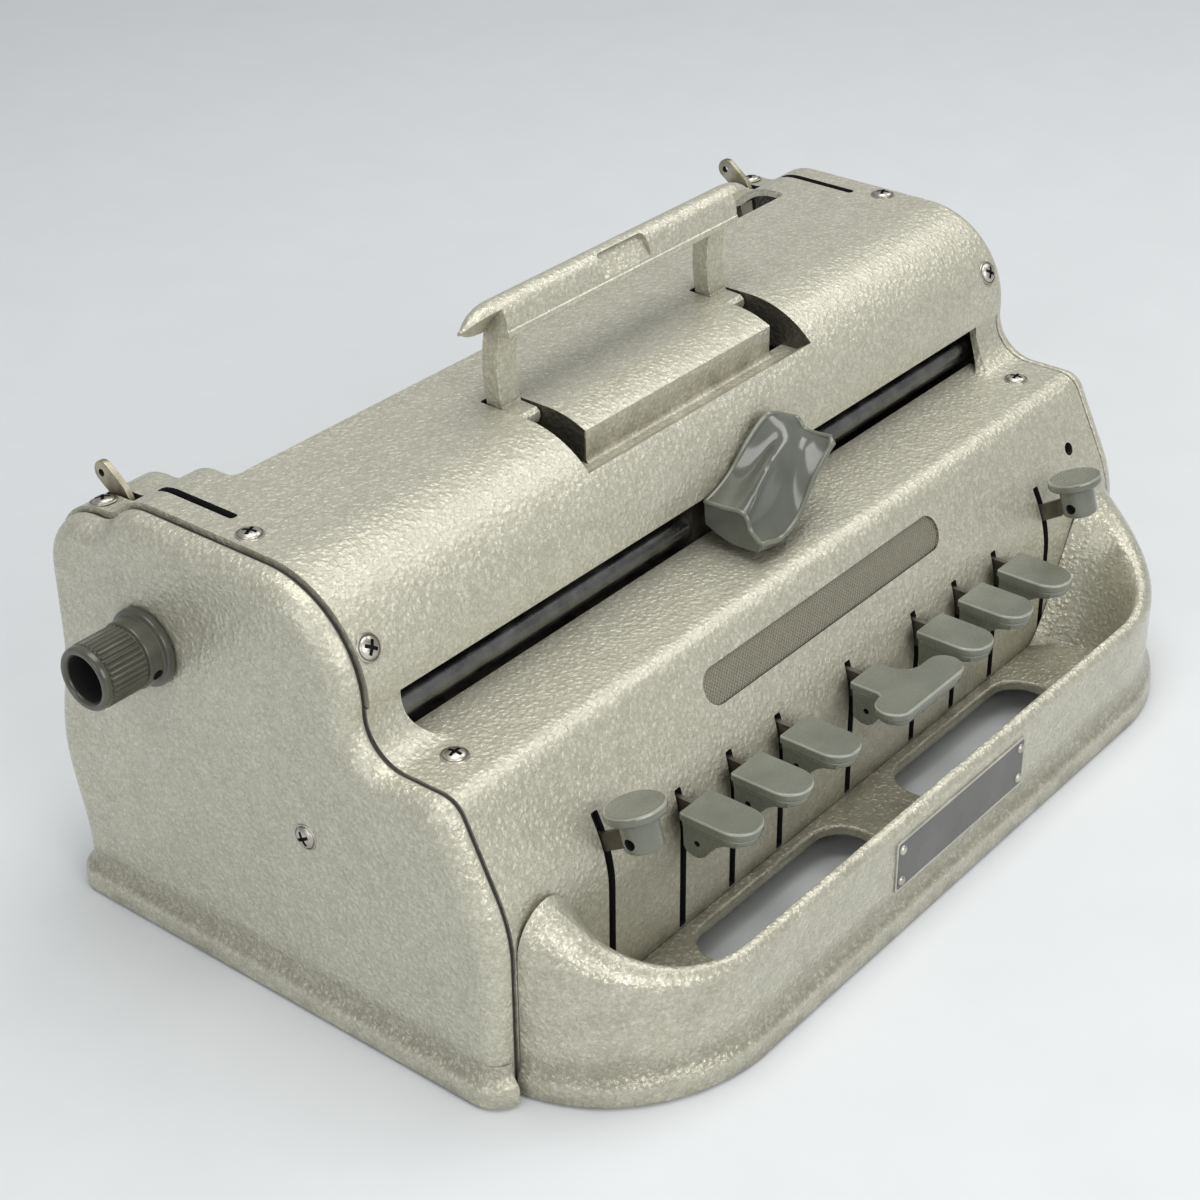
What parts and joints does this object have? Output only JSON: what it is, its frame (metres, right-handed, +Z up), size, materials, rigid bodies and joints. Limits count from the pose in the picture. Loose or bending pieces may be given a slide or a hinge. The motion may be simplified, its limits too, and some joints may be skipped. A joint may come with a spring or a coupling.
{
  "type": "braille writer",
  "caption": "Manual braille writer with an enamelled casing, curved palm rail, lever keys, sliding carriage lever, ribbed paper feed knobs and a folding carry handle.",
  "frame": {"origin": "centre of the footprint over knobs and rail, on the table", "axes": "+X towards the typist's right, along the carriage travel, +Y towards the rear where paper goes in, +Z up"},
  "size_m": [0.394, 0.2238, 0.1805],
  "materials": {
    "casing_enamel": "warm silver-beige wrinkle enamel, slight gloss",
    "grey_plastic": "glossy mid-grey moulded plastic",
    "black_rubber": "black, matt",
    "black_steel": "blackened steel",
    "nickel": "nickel plate, slightly dulled",
    "bushing_bronze": "oiled sintered bronze",
    "label_enamel": "dark grey satin plate with a pale edge, blank",
    "lever_steel": "dull zinc-plated steel"
  },
  "bodies": {
    "casing": {"palm_rail": "casing_enamel", "bottom_plate": "lever_steel", "rubber_feet": "black_rubber", "left_side_frame": "lever_steel", "right_side_frame": "lever_steel", "left_end_cover": "casing_enamel", "right_end_cover": "casing_enamel", "seam_gaskets": "black_rubber", "top_cover": "casing_enamel", "front_cover": "casing_enamel", "rear_cover": "casing_enamel", "paper_table": "black_steel", "cover_screws": "nickel", "label_plate": "label_enamel", "label_pins": "nickel", "carriage_rail": "black_steel", "guide_rod": "black_steel", "escapement_rack": "lever_steel", "key_pivot_rod": "lever_steel", "key_stop_bar": "lever_steel", "return_springs": "lever_steel", "bell_gong": "nickel", "margin_bar": "lever_steel", "handle_pins": "lever_steel", "pivot_pins": "lever_steel", "shaft_bushings": "bushing_bronze"},
    "handle": {"carry_handle": "casing_enamel"},
    "carriage": {"carriage_block": "lever_steel", "emboss_head": "nickel"},
    "lever_pad": {"carriage_lever": "grey_plastic"},
    "feed": {"feed_roller": "black_rubber", "feed_shaft": "lever_steel", "left_knob": "grey_plastic", "right_knob": "grey_plastic", "ratchet_wheel": "lever_steel"},
    "pressers": {"pressure_rollers": "black_steel"},
    "left_release": {"left_release_lever": "nickel"},
    "right_release": {"right_release_lever": "nickel"},
    "dot1_key": {"dot1_cap": "grey_plastic", "dot1_lever": "lever_steel"},
    "dot2_key": {"dot2_cap": "grey_plastic", "dot2_lever": "lever_steel"},
    "dot3_key": {"dot3_cap": "grey_plastic", "dot3_lever": "lever_steel"},
    "dot4_key": {"dot4_cap": "grey_plastic", "dot4_lever": "lever_steel"},
    "dot5_key": {"dot5_cap": "grey_plastic", "dot5_lever": "lever_steel"},
    "dot6_key": {"dot6_cap": "grey_plastic", "dot6_lever": "lever_steel"},
    "space_key": {"space_cap": "grey_plastic", "space_lever": "lever_steel"},
    "line_space_key": {"line_space_cap": "grey_plastic", "line_space_lever": "lever_steel"},
    "backspace_key": {"backspace_cap": "grey_plastic", "backspace_lever": "lever_steel"},
    "left_stop": {"left_margin_stop": "lever_steel"},
    "right_stop": {"right_margin_stop": "lever_steel"},
    "hammer": {"bell_hammer": "lever_steel"},
    "drum": {"spring_drum": "lever_steel"}
  },
  "joints": [
    {"name": "handle_fold", "type": "hinge", "parent": "casing", "child": "handle", "pos_m": [0, 0.0295, 0.1395], "axis": [1, 0, 0], "range_deg": [0, 88]},
    {"name": "carriage_slide", "type": "slide", "parent": "casing", "child": "carriage", "axis": [1, 0, 0], "range_m": [-0.134, 0.119]},
    {"name": "carriage_release", "type": "hinge", "parent": "carriage", "child": "lever_pad", "pos_m": [0.022, -0.016, 0.1024], "axis": [0, -1, 0], "range_deg": [0, 4], "stiffness_Nm_per_rad": 1, "springref_deg": -8.59},
    {"name": "paper_feed", "type": "hinge", "parent": "casing", "child": "feed", "pos_m": [0, 0.0635, 0.1044], "axis": [1, 0, 0], "continuous": true},
    {"name": "presser_spin", "type": "hinge", "parent": "casing", "child": "pressers", "pos_m": [0, 0.0635, 0.0844], "axis": [1, 0, 0], "continuous": true},
    {"name": "left_paper_release", "type": "hinge", "parent": "casing", "child": "left_release", "pos_m": [-0.1533, 0.086, 0.118], "axis": [1, 0, 0], "range_deg": [0, 16]},
    {"name": "right_paper_release", "type": "hinge", "parent": "casing", "child": "right_release", "pos_m": [0.1533, 0.086, 0.118], "axis": [1, 0, 0], "range_deg": [0, 16]},
    {"name": "dot1_key_press", "type": "hinge", "parent": "casing", "child": "dot1_key", "pos_m": [-0.038, 0.022, 0.04], "axis": [1, 0, 0], "range_deg": [0, 5.5], "stiffness_Nm_per_rad": 1.5, "springref_deg": -5.73},
    {"name": "dot2_key_press", "type": "hinge", "parent": "casing", "child": "dot2_key", "pos_m": [-0.063, 0.022, 0.04], "axis": [1, 0, 0], "range_deg": [0, 5.5], "stiffness_Nm_per_rad": 1.5, "springref_deg": -5.73},
    {"name": "dot3_key_press", "type": "hinge", "parent": "casing", "child": "dot3_key", "pos_m": [-0.088, 0.022, 0.04], "axis": [1, 0, 0], "range_deg": [0, 5.5], "stiffness_Nm_per_rad": 1.5, "springref_deg": -5.73},
    {"name": "dot4_key_press", "type": "hinge", "parent": "casing", "child": "dot4_key", "pos_m": [0.038, 0.022, 0.04], "axis": [1, 0, 0], "range_deg": [0, 5.5], "stiffness_Nm_per_rad": 1.5, "springref_deg": -5.73},
    {"name": "dot5_key_press", "type": "hinge", "parent": "casing", "child": "dot5_key", "pos_m": [0.063, 0.022, 0.04], "axis": [1, 0, 0], "range_deg": [0, 5.5], "stiffness_Nm_per_rad": 1.5, "springref_deg": -5.73},
    {"name": "dot6_key_press", "type": "hinge", "parent": "casing", "child": "dot6_key", "pos_m": [0.088, 0.022, 0.04], "axis": [1, 0, 0], "range_deg": [0, 5.5], "stiffness_Nm_per_rad": 1.5, "springref_deg": -5.73},
    {"name": "space_key_press", "type": "hinge", "parent": "casing", "child": "space_key", "pos_m": [0, 0.022, 0.04], "axis": [1, 0, 0], "range_deg": [0, 5.5], "stiffness_Nm_per_rad": 1.5, "springref_deg": -5.73},
    {"name": "line_space_key_press", "type": "hinge", "parent": "casing", "child": "line_space_key", "pos_m": [-0.1215, 0.022, 0.04], "axis": [1, 0, 0], "range_deg": [0, 5.5], "stiffness_Nm_per_rad": 1.5, "springref_deg": -5.73},
    {"name": "backspace_key_press", "type": "hinge", "parent": "casing", "child": "backspace_key", "pos_m": [0.1215, 0.022, 0.04], "axis": [1, 0, 0], "range_deg": [0, 5.5], "stiffness_Nm_per_rad": 1.5, "springref_deg": -5.73},
    {"name": "left_margin_slide", "type": "slide", "parent": "casing", "child": "left_stop", "axis": [1, 0, 0], "range_m": [0, 0.06]},
    {"name": "right_margin_slide", "type": "slide", "parent": "casing", "child": "right_stop", "axis": [-1, 0, 0], "range_m": [0, 0.06]},
    {"name": "bell_strike", "type": "hinge", "parent": "casing", "child": "hammer", "pos_m": [0.086, 0.066, 0.01], "axis": [0, 1, 0], "range_deg": [-3, 4], "stiffness_Nm_per_rad": 0.05},
    {"name": "mainspring_turn", "type": "hinge", "parent": "casing", "child": "drum", "pos_m": [-0.1445, 0.07, 0.04], "axis": [1, 0, 0], "range_deg": [-390, 350]}
  ],
  "couplings": [
    {"joint": "presser_spin", "follows": "paper_feed", "ratio": -2},
    {"joint": "mainspring_turn", "follows": "carriage_slide", "rad_per_m": 50}
  ]
}
